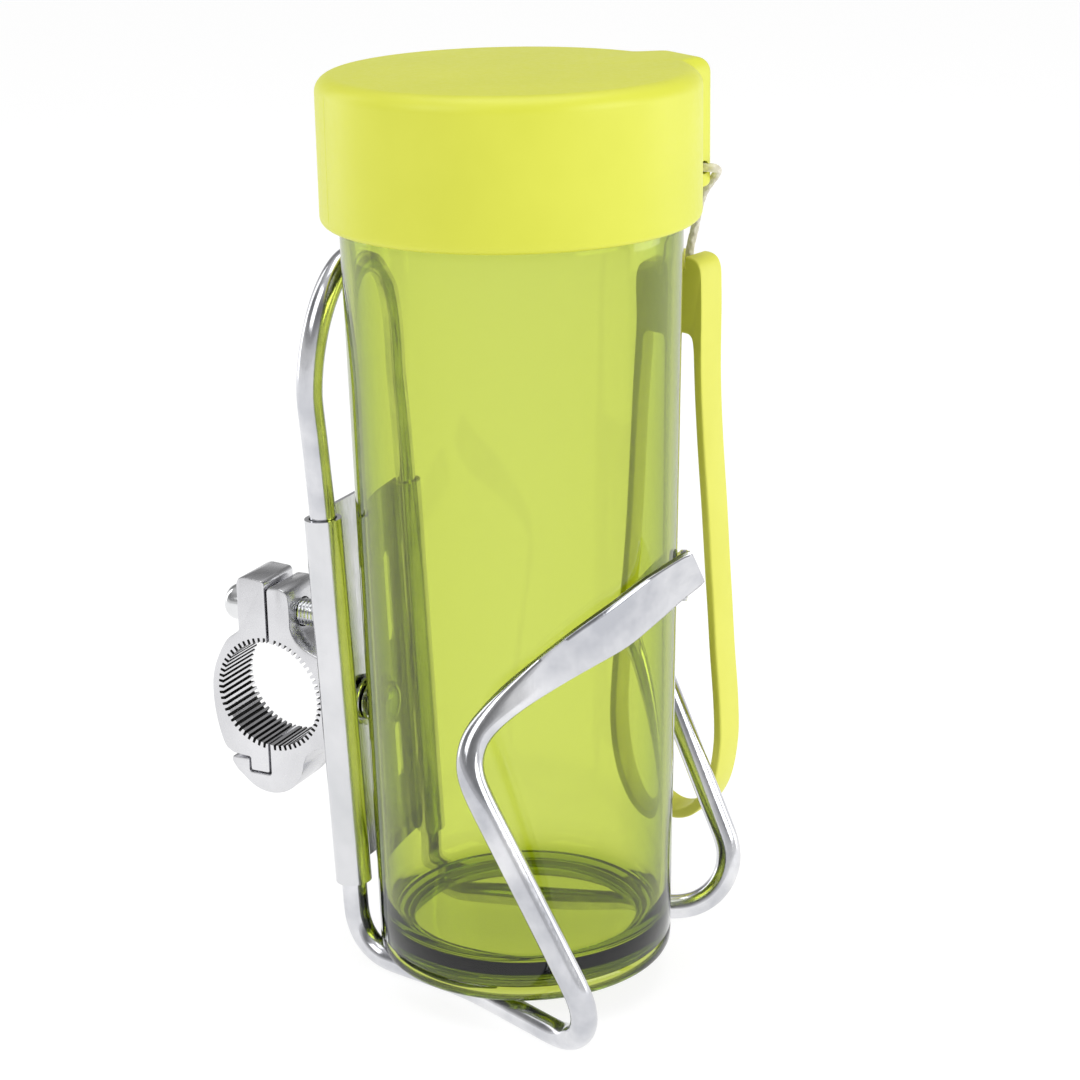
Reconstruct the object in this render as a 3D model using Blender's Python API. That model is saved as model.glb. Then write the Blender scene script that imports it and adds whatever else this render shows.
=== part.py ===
"""Bicycle water bottle in a bent-rod cage with a handlebar clamp.

Design space is in millimetres round the bottle: z = 0 is the underside of the
bottle, +Z is its axis, the clamp is on the +Y side and the open front of the
cage on the -Y side.  Everything is then moved so that the origin is the centre
of the clamp's bore, whose axis is X, and scaled to metres.
"""
import math

import bmesh
import bpy
import numpy as np
from mathutils import Matrix, Vector

# ------------------------------------------------------------------ dimensions
MM = 0.001
BORE_Y = 62.8          # clamp bore centre, behind the bottle's axis
BORE_Z = 51.9          # clamp bore centre, above the bottle's underside
BORE_TIP_R = 12.8      # to the tips of the teeth: a 25.4 mm handlebar
BORE_ROOT_R = 13.6
CLAMP_TEETH = 44
CLAMP_HALF_W = 6.5

BOTTLE_BASE_R = 33.45
BOTTLE_TOP_R = 36.5
BOTTLE_SHOULDER_Z = 169.4
BOTTLE_RIM_Z = 191.0
BOTTLE_WALL = 2.2
BOTTLE_FLOOR_Z = 8.1

LID_R = 40.43
LID_Z0 = 168.16
LID_Z1 = 199.18
LID_CEILING_Z = 194.4
LUG_AZ = math.radians(-34.5)
LUG_R = 45.8
LUG_Z0 = 171.2
LUG_HOLE_R = 43.2
LUG_HOLE_Z = 175.6

ROD_R = 2.9
LEG_X = 16.5
LEG_SLOPE = 0.046      # the legs and the plate lean back by this much per mm
LEG_Y0 = 35.17         # leg centre line at z = 0
SLEEVE_OUT_R = 4.15
SHEET_T = 1.0
SLEEVE_Z0 = 14.3
SLEEVE_Z1 = 101.2
ARCH_Z0 = 128.0
ARCH_Z1 = 156.6
ARCH_TOP_Y = 39.6
RUN_Z = -3.25          # the two runs pass under the bottle
SHORT_ARM = 6          # steps by which the right arm's tip stops short of the left one's
PLATE_BOLT_Z = 52.0
CLAMP_BOLT_Z = 71.5

CORD_R = 0.95
STRAP_W = 8.4
STRAP_AZ = math.radians(-10.3)
STRAP_PIVOT = (42.0, -22.9, 151.9)


# --------------------------------------------------------------------- helpers
for old in list(bpy.data.objects):
    bpy.data.objects.remove(old, do_unlink=True)


def place(p):
    return Vector((p[0] * MM, (p[1] - BORE_Y) * MM, (p[2] - BORE_Z) * MM))


def material(name, colour, rough, metal=0.0, alpha=1.0):
    mat = bpy.data.materials.get(name)
    if mat is None:
        mat = bpy.data.materials.new(name)
        mat.use_nodes = True
        shader = mat.node_tree.nodes["Principled BSDF"]
        shader.inputs["Base Color"].default_value = (*colour, 1.0)
        shader.inputs["Roughness"].default_value = rough
        shader.inputs["Metallic"].default_value = metal
        shader.inputs["Alpha"].default_value = alpha
        mat.diffuse_color = (*colour, alpha)
    return mat


GREEN = material("clear_green_plastic", (0.55, 0.72, 0.10), 0.08, 0.0, 0.45)
LIME = material("lime_plastic", (0.80, 0.87, 0.10), 0.42)
SILICONE = material("lime_silicone", (0.76, 0.83, 0.08), 0.55)
SEAL = material("white_silicone", (0.85, 0.86, 0.80), 0.60)
CORD = material("cream_cord", (0.78, 0.74, 0.64), 0.85)
ROD = material("polished_aluminium", (0.80, 0.81, 0.83), 0.22, 1.0)
SHEET = material("satin_aluminium", (0.76, 0.77, 0.79), 0.38, 1.0)
CAST = material("plated_clamp", (0.83, 0.83, 0.84), 0.30, 1.0)
STEEL = material("plated_steel", (0.68, 0.69, 0.71), 0.20, 1.0)


def link(name, mesh, mat):
    obj = bpy.data.objects.new(name, mesh)
    bpy.context.scene.collection.objects.link(obj)
    mesh.materials.append(mat)
    return obj


def finish(name, bm, mat, sharp=35.0):
    """Turns a bmesh in design millimetres into an object of the part."""
    for v in bm.verts:
        v.co = place(v.co)
    bmesh.ops.recalc_face_normals(bm, faces=bm.faces)
    mesh = bpy.data.meshes.new(name)
    bm.to_mesh(mesh)
    bm.free()
    mesh.shade_smooth()
    mesh.set_sharp_from_angle(angle=math.radians(sharp))
    return link(name, mesh, mat)


def rings_to_bmesh(rings, closed_path=False, cap=True):
    """Skins rings of equal length; the rings are closed loops."""
    bm = bmesh.new()
    loops = [[bm.verts.new(p) for p in ring] for ring in rings]
    n = len(loops[0])
    count = len(loops)
    for i in range(count if closed_path else count - 1):
        a, b = loops[i], loops[(i + 1) % count]
        for j in range(n):
            k = (j + 1) % n
            bm.faces.new((a[j], a[k], b[k], b[j]))
    if cap and not closed_path:
        bm.faces.new(loops[0])
        bm.faces.new(list(reversed(loops[-1])))
    return bm


def lathe(profile, segments=48, closed=True):
    """Turned solid about Z.  closed: the profile is a loop clear of the axis.
    Otherwise it starts and ends on the axis."""
    bm = bmesh.new()
    cols = []
    for s in range(segments):
        a = 2 * math.pi * s / segments
        cols.append([
            None if r < 1e-6 else bm.verts.new((r * math.cos(a), r * math.sin(a), z))
            for r, z in profile
        ])
    n = len(profile)
    poles = {i: bm.verts.new((0, 0, profile[i][1])) for i in range(n) if profile[i][0] < 1e-6}
    for s in range(segments):
        a, b = cols[s], cols[(s + 1) % segments]
        for i in range(n if closed else n - 1):
            k = (i + 1) % n
            va, vb, vc, vd = a[i], b[i], b[k], a[k]
            if va is None:
                bm.faces.new((poles[i], vc, vd))
            elif vd is None:
                bm.faces.new((va, vb, poles[k]))
            else:
                bm.faces.new((va, vb, vc, vd))
    return bm


def along_y(bm, x, y, z):
    """Moves a solid turned about Z so that its +Z points along +Y."""
    turn = Matrix.Rotation(math.radians(-90), 4, "X")
    bmesh.ops.transform(bm, matrix=Matrix.Translation((x, y, z)) @ turn, verts=bm.verts)
    return bm


def prism_x(outline, half):
    """Outline of (y, z) points pushed out to both sides in X."""
    return rings_to_bmesh([[(-half, y, z) for y, z in outline], [(half, y, z) for y, z in outline]])


def catmull(points, per, closed=False):
    """Smooth curve through the points, per samples in each span."""
    pts = [np.array(p, float) for p in points]
    n = len(pts)
    out = []
    for i in range(n if closed else n - 1):
        if closed:
            p0, p1, p2, p3 = pts[i - 1], pts[i], pts[(i + 1) % n], pts[(i + 2) % n]
        else:
            p1, p2 = pts[i], pts[i + 1]
            p0 = pts[i - 1] if i else 2 * p1 - p2
            p3 = pts[i + 2] if i + 2 < n else 2 * p2 - p1
        for k in range(per):
            t = k / per
            out.append(0.5 * (2 * p1 + (p2 - p0) * t + (2 * p0 - 5 * p1 + 4 * p2 - p3) * t * t
                              + (3 * p1 - p0 - 3 * p2 + p3) * t ** 3))
    if not closed:
        out.append(pts[-1])
    return out


def cutter(name, bm):
    obj = finish(name, bm, STEEL)
    obj.hide_render = True
    obj.display_type = "WIRE"
    return obj


def boolean(obj, other, operation):
    mod = obj.modifiers.new(operation.lower(), "BOOLEAN")
    mod.object = other
    mod.operation = operation
    mod.solver = "EXACT"
    return mod


def cylinder(r, z0, z1, segments=24):
    return lathe([(0, z0), (r, z0), (r, z1), (0, z1)], segments, closed=False)


def bottle_r(z):
    return BOTTLE_BASE_R + (BOTTLE_TOP_R - BOTTLE_BASE_R) * z / LID_Z0


def leg_y(z):
    return LEG_Y0 + LEG_SLOPE * z


# ---------------------------------------------------------------- bottle_body
def make_bottle():
    w = BOTTLE_WALL
    # the underside is hollow inside the foot ring, so the floor is 3 thick
    outer = [(25.2, 4.8), (27.3, 4.0), (28.5, 2.2), (29.3, 0.8), (30.3, 0.0), (32.2, 0.0), (33.1, 0.5), (bottle_r(1.3), 1.3),
             (bottle_r(3.4), 3.4), (bottle_r(3.9) - 0.35, 3.9), (bottle_r(4.4), 4.4)]
    outer += [(bottle_r(z), z) for z in (30, 65, 100, 135, BOTTLE_SHOULDER_Z - 1)]
    outer += [(36.3, 169.6), (34.8, 170.8), (34.4, 172.4), (35.3, 173.2), (35.3, 174.2), (34.4, 175.0),
              (34.4, 178.6), (35.3, 179.4), (35.3, 180.6), (34.4, 181.4), (34.4, BOTTLE_RIM_Z - 0.5),
              (33.9, BOTTLE_RIM_Z)]
    inner = [(32.6, BOTTLE_RIM_Z), (32.2, BOTTLE_RIM_Z - 0.5), (32.2, 173.4), (33.4, 169.6), (bottle_r(164) - w, 164)]
    inner += [(bottle_r(z) - w, z) for z in (110, 60, 14)]
    inner += [(bottle_r(10) - w - 1.0, 9.2), (bottle_r(9) - w - 3.2, BOTTLE_FLOOR_Z)]
    profile = [(0, 5.0)] + outer + inner + [(0, BOTTLE_FLOOR_Z)]
    return finish("bottle_body", lathe(profile, 56, closed=False), GREEN)


# ------------------------------------------------------------------------ lid
def lug_bulge(az):
    """0 away from the lug, 1 over its outer face, with a soft concave foot."""
    d = abs((az - LUG_AZ + math.pi) % (2 * math.pi) - math.pi)
    d = math.degrees(d)
    if d <= 7.8:
        return 1.0
    if d >= 15.6:
        return 0.0
    t = (d - 7.8) / 7.8
    return (1 - t) ** 2.4 * (1 + 2.2 * t)


def lid_radius(az, lug=True):
    if not lug:
        return LID_R
    b = lug_bulge(az)
    if b <= 0:
        return LID_R
    d = (az - LUG_AZ + math.pi) % (2 * math.pi) - math.pi
    face = LUG_R / math.cos(d)
    return LID_R + (min(face, LUG_R + 0.7) - LID_R) * b


def make_lid():
    plain = [math.radians(a) for a in np.arange(-12, 348, 6.0)]
    fine = [LUG_AZ + math.radians(a) for a in np.arange(-16.9, 17.0, 1.3)]
    angles = sorted({round(a % (2 * math.pi), 5) for a in plain
                     if abs((a - LUG_AZ + math.pi) % (2 * math.pi) - math.pi) > math.radians(19)}
                    | {round(a % (2 * math.pi), 5) for a in fine})
    # (z, inset from the plan outline, with the lug?) up the outside
    outer = [(LID_Z0, 1.7, False), (LID_Z0 + 0.5, 0.7, False), (LID_Z0 + 1.7, 0.0, False),
             (LUG_Z0, 0.0, False), (LUG_Z0 + 0.01, 0.9, True), (LUG_Z0 + 1.0, 0.0, True),
             (184.0, 0.0, True), (LID_Z1 - 3.4, 0.0, True), (LID_Z1 - 1.9, 0.45, True),
             (LID_Z1 - 0.75, 1.4, True), (LID_Z1 - 0.1, 2.9, True), (LID_Z1, 4.2, True)]
    inner = [(37.3, LID_Z0), (36.9, LID_Z0 + 0.6), (36.9, 175.6), (36.0, 176.3), (36.0, 177.3), (36.9, 178.0),
             (36.9, 182.0), (36.0, 182.7), (36.0, 183.7), (36.9, 184.4), (36.9, LID_CEILING_Z)]
    bm = bmesh.new()
    cols = []
    for a in angles:
        ca, sa = math.cos(a), math.sin(a)
        col = []
        for z, inset, lug in outer:
            r = lid_radius(a, lug) - inset
            if z == LUG_Z0 + 0.01:
                r = max(r, LID_R)
            col.append((r * ca, r * sa, z))
        cols.append((col, [(r * ca, r * sa, z) for r, z in inner]))
    top = bm.verts.new((0, 0, LID_Z1))
    ceiling = bm.verts.new((0, 0, LID_CEILING_Z))
    made = []
    for col, ins in cols:
        verts = []
        for p in reversed(col):
            verts.append(bm.verts.new(p))
        for p in ins:
            verts.append(bm.verts.new(p))
        made.append(verts)
    n = len(made[0])
    for i in range(len(made)):
        a, b = made[i], made[(i + 1) % len(made)]
        bm.faces.new((top, a[0], b[0]))
        for k in range(n - 1):
            bm.faces.new((a[k], a[k + 1], b[k + 1], b[k]))
        bm.faces.new((a[-1], ceiling, b[-1]))
    bmesh.ops.remove_doubles(bm, verts=bm.verts, dist=0.004)
    lid = finish("lid", bm, LIME)
    er = Vector((math.cos(LUG_AZ), math.sin(LUG_AZ), 0))
    et = Vector((-math.sin(LUG_AZ), math.cos(LUG_AZ), 0))
    hole = cylinder(1.45, -13.0, 13.0, 16)
    frame = Matrix((er, Vector((0, 0, -1)), et)).transposed().to_4x4()
    frame.translation = er * LUG_HOLE_R + Vector((0, 0, LUG_HOLE_Z))
    bmesh.ops.transform(hole, matrix=frame, verts=hole.verts)
    boolean(lid, cutter("cut_lug_hole", hole), "DIFFERENCE")
    return lid


def make_seal():
    z0, z1 = BOTTLE_RIM_Z + 0.35, LID_CEILING_Z - 0.35
    profile = [(31.6, z0), (35.2, z0), (35.2, z1), (31.6, z1)]
    return finish("lid_seal", lathe(profile, 48), SEAL)


# ----------------------------------------------------------------- strap_cord
def lug_point(t, r, z):
    ca, sa = math.cos(LUG_AZ), math.sin(LUG_AZ)
    return (r * ca - t * sa, r * sa + t * ca, z)


# from the strap's slot, up the lug's outer face, round its near corner, through
# the hole, round the far corner and back to the middle of the face
CORD_ROUTE = [(4.92, 47.58, 151.9), (4.6, 47.8, 155.5), (3.4, 48.2, 160.0), (1.4, 48.0, 165.0),
              (-1.6, 47.5, 169.0), (-4.6, 47.4, 171.8), (-7.2, 47.0, 173.8), (-9.1, 45.9, 175.0),
              (-9.6, 44.4, 175.6), (-8.5, 43.3, 175.6), (-6.0, 43.2, 175.6), (0.0, 43.2, 175.6),
              (6.0, 43.2, 175.6), (8.5, 43.3, 175.6), (9.6, 44.4, 175.5), (9.1, 45.9, 174.6),
              (7.2, 47.0, 173.2), (4.8, 47.4, 171.6), (2.4, 47.4, 170.4)]


def make_cord():
    route = catmull([lug_point(*p) for p in CORD_ROUTE], 2)
    curve = bpy.data.curves.new("strap_cord", "CURVE")
    curve.dimensions = "3D"
    curve.bevel_depth = CORD_R * MM
    curve.bevel_resolution = 2
    curve.use_fill_caps = True
    spline = curve.splines.new("POLY")
    spline.points.add(len(route) - 1)
    for point, p in zip(spline.points, route):
        point.co = (*place(p), 1.0)
    return link("strap_cord", curve, CORD)


# ---------------------------------------------------------------- wrist_strap
# outline in the strap's own plane: (sideways, height), outside and inside, the
# same number of points each, starting at the top and going round clockwise
STRAP_OUT = [(13.6, 154.0), (18.6, 153.9), (20.7, 151.9), (21.1, 147.0), (21.1, 137.0), (20.3, 120.0),
             (19.3, 100.0), (18.5, 78.0), (19.3, 60.0), (20.6, 44.0), (20.6, 33.0), (18.2, 22.0),
             (12.8, 14.4), (5.8, 12.0), (-1.4, 14.6), (-6.6, 22.0), (-9.0, 33.0), (-8.6, 46.0),
             (-6.4, 62.0), (-3.4, 80.0), (0.2, 100.0), (3.7, 120.0), (6.1, 137.0), (6.1, 147.0),
             (6.5, 151.9), (8.6, 153.9)]
STRAP_IN = [(13.6, 136.6), (16.4, 136.6), (17.8, 136.2), (18.6, 134.6), (18.7, 130.0), (18.1, 118.0),
            (17.1, 100.0), (16.3, 78.0), (17.1, 60.5), (18.4, 44.0), (18.4, 33.5), (16.3, 23.6),
            (11.8, 16.9), (5.8, 14.2), (-0.2, 16.7), (-4.6, 23.4), (-6.8, 33.5), (-6.4, 46.0),
            (-4.2, 62.0), (-1.2, 80.0), (2.4, 100.0), (5.9, 119.0), (8.2, 131.0), (8.5, 134.6),
            (9.4, 136.2), (10.8, 136.6)]


def strap_offset(z):
    """How far out the middle of the strap's width lies: the block hangs from
    the cord, the loop leans out over the cage's arm and hangs beside it."""
    if z >= 140:
        return 45.5
    if z <= 66:
        return 55.0
    t = (140 - z) / 74.0
    return 45.5 + 9.5 * (t * t * (3 - 2 * t))


def strap_point(e, n, z):
    ca, sa = math.cos(STRAP_AZ), math.sin(STRAP_AZ)
    return (n * ca + e * sa, n * sa - e * ca, z)


def make_strap():
    out = catmull(STRAP_OUT, 2, closed=True)
    ins = catmull(STRAP_IN, 2, closed=True)
    rings = []
    half = STRAP_W / 2
    for (eo, zo), (ei, zi) in zip(out, ins):
        no, ni = strap_offset(zo), strap_offset(zi)
        rings.append([strap_point(eo, no - half + 0.5, zo), strap_point(eo, no + half - 0.5, zo),
                      strap_point(eo + 0.15 * (ei - eo) / max(abs(ei - eo), 1.0), no + half, zo + 0.15 * (zi - zo) / max(abs(zi - zo), 1.0)),
                      strap_point(ei, ni + half, zi), strap_point(ei, ni - half, zi),
                      strap_point(eo + 0.15 * (ei - eo) / max(abs(ei - eo), 1.0), no - half, zo + 0.15 * (zi - zo) / max(abs(zi - zo), 1.0))])
    strap = finish("wrist_strap", rings_to_bmesh(rings, closed_path=True), SILICONE, 45.0)
    # slot for the cord, open at the top and through to both faces
    px, py, pz = STRAP_PIVOT
    ca, sa = math.cos(STRAP_AZ), math.sin(STRAP_AZ)
    e = px * sa - py * ca
    n = px * ca + py * sa
    outline = [(-1.8, 6.0), (-1.8, 0.0)]
    outline += [(-1.8 * math.cos(a), -1.7 * math.sin(a)) for a in np.linspace(0.4, math.pi - 0.4, 5)]
    outline += [(1.8, 0.0), (1.8, 6.0)]
    slot = rings_to_bmesh([[strap_point(e + u, n - 9.0, pz + v) for u, v in outline],
                           [strap_point(e + u, n + 9.0, pz + v) for u, v in outline]])
    boolean(strap, cutter("cut_strap_slot", slot), "DIFFERENCE")
    return strap


# ------------------------------------------------------------------- cage_rod
def fillet(a, corner, b, radius, steps):
    """Points of the arc that rounds a corner between two straight runs."""
    a, corner, b = (np.array(p, float) for p in (a, corner, b))
    u = (a - corner) / np.linalg.norm(a - corner)
    v = (b - corner) / np.linalg.norm(b - corner)
    angle = math.acos(float(np.clip(u @ v, -1, 1)))
    tangent = radius / math.tan(angle / 2)
    bisector = (u + v) / np.linalg.norm(u + v)
    centre = corner + bisector * radius / math.sin(angle / 2)
    p, q = corner + u * tangent - centre, corner + v * tangent - centre
    sweep = math.pi - angle
    return [centre + (p * math.sin(sweep * (1 - t)) + q * math.sin(sweep * t)) / math.sin(sweep)
            for t in np.linspace(0, 1, steps)]


def polar(r, az, z):
    a = math.radians(az)
    return (r * math.cos(a), r * math.sin(a), z)


# one side of the cage, from the arm's flared tip back to the middle of the arch
BEND_BOTTOM = (-40.25, -40.7, -3.4)
BEND_SIDE = (-46.5, -6.3, 68.9)
BEND_BACK = (-LEG_X, LEG_Y0 + LEG_SLOPE * RUN_Z, RUN_Z)
RUN_KNEE = (-22.6, 3.0, RUN_Z)
ARM_TURN = [(45.7, -166.9, 60.6), (43.0, -166.4, 66.2), (40.4, -161.8, 70.6), (38.3, -155.6, 74.2),
            (37.0, -148.6, 77.2), (36.55, -140.4, 80.4), (36.45, -132.5, 83.1), (36.45, -125.0, 85.2),
            (36.45, -116.8, 87.1), (36.6, -108.6, 89.2), (37.6, -101.2, 91.2), (39.8, -95.6, 93.6),
            (43.0, -90.8, 96.2)]


def half_path():
    """(point, flatness) from the tip to the arch's middle; flatness 1 is the flat band."""
    lower = np.array(BEND_BOTTOM)
    side = np.array(BEND_SIDE)
    straight_top = lower + (side - lower) * 0.80
    arm = [polar(*p) for p in ARM_TURN]
    curve = catmull([tuple(lower + (side - lower) * 0.72), tuple(straight_top)] + arm, 2)[2:]
    total = len(curve)
    path = []
    for i, p in enumerate(reversed(curve)):
        k = total - 1 - i
        az = math.degrees(math.atan2(p[1], p[0]))
        flat = min(1.0, max(0.0, (az + 167.5) / 58.0)) if k > 2 else 0.0
        path.append((p, flat))
    path += [(p, 0.0) for p in fillet(side, lower, RUN_KNEE, 12.5, 9)]
    path += [(p, 0.0) for p in fillet(lower, RUN_KNEE, BEND_BACK, 60.0, 4)]
    leg_top = (-LEG_X, leg_y(104.0), 104.0)
    path += [(p, 0.0) for p in fillet(RUN_KNEE, BEND_BACK, leg_top, 10.0, 7)]
    path.append((np.array((-LEG_X, leg_y(60.0), 60.0)), 0.0))
    path.append((np.array(leg_top), 0.0))
    foot_y = leg_y(ARCH_Z0) + 0.8
    path.append((np.array((-LEG_X, leg_y(118.0) + 0.35, 118.0)), 0.0))
    for s in np.linspace(0, math.pi / 2, 9):
        c, d = math.cos(s), math.sin(s)
        x = -LEG_X * max(c, 0.0)
        z = ARCH_Z0 + (ARCH_Z1 - ARCH_Z0) * d
        y = foot_y + (ARCH_TOP_Y - foot_y) * d ** 1.5
        path.append((np.array((x, y, z)), 0.0))
    return path


def resample_arch(path):
    """Drops points closer together than a third of the rod's diameter."""
    kept = [path[0]]
    for p in path[1:-1]:
        if np.linalg.norm(p[0] - kept[-1][0]) > 1.6:
            kept.append(p)
    if np.linalg.norm(path[-1][0] - kept[-1][0]) < 1.0:
        kept.pop()
    kept.append(path[-1])
    return kept


def full_path():
    half = resample_arch(half_path())
    mirrored = [(np.array((-p[0], p[1], p[2])), f) for p, f in reversed(half[SHORT_ARM:-1])]
    return half + mirrored


def rod_section(flat, sides=12):
    """Round rod that is pressed to a band 11.4 wide and 2 thick."""
    # the rod is pressed thin early on and goes on getting wider towards the tip
    wide = flat * flat * (3 - 2 * flat)
    flat = min(1.0, 2.1 * flat)
    flat = flat * flat * (3 - 2 * flat)
    pts = []
    for i in range(sides):
        a = 2 * math.pi * (i + 0.5) / sides
        c, s = math.cos(a), math.sin(a)
        sq = max(abs(c), abs(s))
        box = (c / sq, s / sq)
        k = 0.75 * flat
        u = (1 - k) * c + k * box[0]
        v = (1 - k) * s + k * box[1]
        pts.append((u * (ROD_R + (1.0 - ROD_R) * flat), v * (ROD_R + (5.7 - ROD_R) * wide)))
    return pts


def make_rod():
    path = full_path()
    pts = [p for p, _ in path]
    n = len(pts)
    tangents = []
    for i in range(n):
        a, b = pts[max(i - 1, 0)], pts[min(i + 1, n - 1)]
        tangents.append((b - a) / np.linalg.norm(b - a))

    def radial(i):
        r = np.array((pts[i][0], pts[i][1], 0.0))
        r -= tangents[i] * (r @ tangents[i])
        return r / np.linalg.norm(r)

    normals = [None] * n
    first = [i for i in range(n) if path[i][1] > 0 and i < n // 2]
    last = [i for i in range(n) if path[i][1] > 0 and i > n // 2]
    for i in first + last:
        normals[i] = radial(i)
    carried = normals[first[-1]]
    for i in range(first[-1] + 1, last[0]):
        carried = carried - tangents[i] * (carried @ tangents[i])
        carried /= np.linalg.norm(carried)
        normals[i] = carried
    end = carried - tangents[last[0]] * (carried @ tangents[last[0]])
    end /= np.linalg.norm(end)
    want = normals[last[0]]
    twist = math.atan2(float(np.cross(end, want) @ tangents[last[0]]), float(end @ want))
    span = last[0] - first[-1]
    for i in range(first[-1] + 1, last[0]):
        a = twist * (i - first[-1]) / span
        t, v = tangents[i], normals[i]
        normals[i] = v * math.cos(a) + np.cross(t, v) * math.sin(a)
    rings = []
    for i in range(n):
        side = np.cross(tangents[i], normals[i])
        rings.append([tuple(pts[i] + normals[i] * u + side * v) for u, v in rod_section(path[i][1])])
    return finish("cage_rod", rings_to_bmesh(rings), ROD, 40.0)


# ----------------------------------------------------------------- back_plate
def make_plate():
    outer, inner = SLEEVE_OUT_R, SLEEVE_OUT_R - SHEET_T
    sweep = [math.radians(90 + a) for a in np.linspace(0, 322, 24)]
    left_out = [(-LEG_X + outer * math.cos(a), outer * math.sin(a)) for a in sweep]
    left_in = [(-LEG_X + inner * math.cos(a), inner * math.sin(a)) for a in sweep]
    # web's rear face, round the left sleeve outside, back inside, then the web's front
    section = left_out + list(reversed(left_in))
    section += [(-x, y) for x, y in reversed(section)]

    def ring(z):
        return [(x, leg_y(z) + y, z - LEG_SLOPE * y) for x, y in section]

    plate = finish("back_plate", rings_to_bmesh([ring(SLEEVE_Z0), ring(SLEEVE_Z1)]), SHEET, 25.0)

    def slot(x, z0, z1, half):
        y = leg_y((z0 + z1) / 2) + 3.6
        loop = [(x + half * math.cos(a), z1 - half + half * math.sin(a)) for a in np.linspace(0, math.pi, 7)]
        loop += [(x + half * math.cos(a), z0 + half + half * math.sin(a)) for a in np.linspace(math.pi, 2 * math.pi, 7)]
        return rings_to_bmesh([[(a, y - 3, b) for a, b in loop], [(a, y + 3, b) for a, b in loop]])

    cut = bmesh.new()
    for piece in (slot(-7.0, 64, 86, 1.7), slot(7.0, 64, 86, 1.7), slot(-7.0, 30, 44, 1.7), slot(7.0, 30, 44, 1.7),
                  along_y(cylinder(2.8, -4, 4, 20), 0, leg_y(PLATE_BOLT_Z) + 3.6, PLATE_BOLT_Z)):
        mesh = bpy.data.meshes.new("cut_piece")
        bmesh.ops.recalc_face_normals(piece, faces=piece.faces)
        piece.to_mesh(mesh)
        piece.free()
        cut.from_mesh(mesh)
        bpy.data.meshes.remove(mesh)
    boolean(plate, cutter("cut_plate_slots", cut), "DIFFERENCE")
    return plate


# ---------------------------------------------------------------------- clamp
def toothed_arc(a0, a1):
    """Serrated part of the bore between two angles (radians from +Y towards +Z)."""
    pitch = 2 * math.pi / CLAMP_TEETH
    first = math.ceil((min(a0, a1) + 0.30 * pitch) / pitch)
    last = math.floor((max(a0, a1) - 0.30 * pitch) / pitch)
    out = []
    for k in range(first, last + 1):
        for part, r in ((-0.27, BORE_TIP_R), (-0.17, BORE_ROOT_R), (0.17, BORE_ROOT_R), (0.27, BORE_TIP_R)):
            out.append(((k + part) * pitch, r))
    if a1 < a0:
        out.reverse()
    return [(BORE_Y + r * math.cos(a), BORE_Z + r * math.sin(a)) for a, r in out]


def bore_angle(y, z):
    return math.atan2(z - BORE_Z, y - BORE_Y)


def make_clamp_base():
    zt = BORE_Z + math.sqrt(BORE_TIP_R ** 2 - (62.3 - BORE_Y) ** 2)
    zb = BORE_Z - math.sqrt(BORE_TIP_R ** 2 - (63.5 - BORE_Y) ** 2)
    ear = [(62.3, zt), (62.3, 77.7), (61.6, 78.5), (58.6, 78.6), (57.3, 78.0), (56.6, 76.6), (56.4, 74.5), (56.4, 69.2)]
    neck = [(55.9, 67.6), (55.1, 66.4), (53.6, 65.1), (51.4, 64.0)]
    back = [(48.8, 63.0), (47.4, 62.0), (47.0, 61.0), (47.0, 43.5), (47.4, 41.8), (48.8, 40.6), (51.2, 39.7), (53.4, 38.2)]
    lobe_c, lobe_r = (64.0, 36.3), 9.6
    lobe = [(lobe_c[0] + lobe_r * math.cos(a), lobe_c[1] + lobe_r * math.sin(a))
            for a in np.radians(np.linspace(185, 318, 13))]
    hook = [(72.9, 31.2), (74.4, 33.4), (74.2, 34.5), (69.5, 34.6), (69.5, 31.3), (63.5, 31.3), (63.5, zb)]
    bore = toothed_arc(bore_angle(63.5, zb), bore_angle(62.3, zt) - 2 * math.pi)
    base = finish("clamp_base", prism_x(ear + neck + back + lobe + hook + bore, CLAMP_HALF_W), CAST, 30.0)
    foot = along_y(cylinder(5.8, 0, 5.2, 24), 0, 42.4, PLATE_BOLT_Z)
    boolean(base, cutter("add_clamp_foot", foot), "UNION")
    boolean(base, cutter("cut_foot_hole", along_y(cylinder(2.75, 0, 9.5, 20), 0, 41.5, PLATE_BOLT_Z)), "DIFFERENCE")
    boolean(base, cutter("cut_base_ear", along_y(cylinder(3.55, 0, 10, 20), 0, 54.5, CLAMP_BOLT_Z)), "DIFFERENCE")
    return base


def make_clamp_jaw():
    zt = BORE_Z + math.sqrt(BORE_TIP_R ** 2 - (62.9 - BORE_Y) ** 2)
    zb = BORE_Z - math.sqrt(BORE_TIP_R ** 2 - (64.0 - BORE_Y) ** 2)
    ear = [(62.9, zt), (62.9, 79.2), (63.5, 79.9), (68.4, 80.2), (69.8, 79.8), (70.4, 78.6), (70.4, 66.8), (71.4, 66.0)]
    outside = [(73.9, 64.0), (76.2, 60.2), (77.8, 56.2), (78.5, 52.2), (78.4, 47.0), (77.6, 42.0), (76.4, 38.0),
               (75.4, 36.4), (73.6, 35.4)]
    tongue = [(69.3, 35.1), (69.0, 34.8), (69.0, 31.8), (64.0, 31.8), (64.0, zb)]
    bore = toothed_arc(bore_angle(64.0, zb), bore_angle(62.9, zt))
    jaw = finish("clamp_jaw", prism_x(ear + outside + tongue + bore, CLAMP_HALF_W), CAST, 30.0)
    boolean(jaw, cutter("cut_jaw_ear", along_y(cylinder(3.75, 0, 12, 20), 0, 60.5, CLAMP_BOLT_Z)), "DIFFERENCE")
    return jaw


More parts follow.
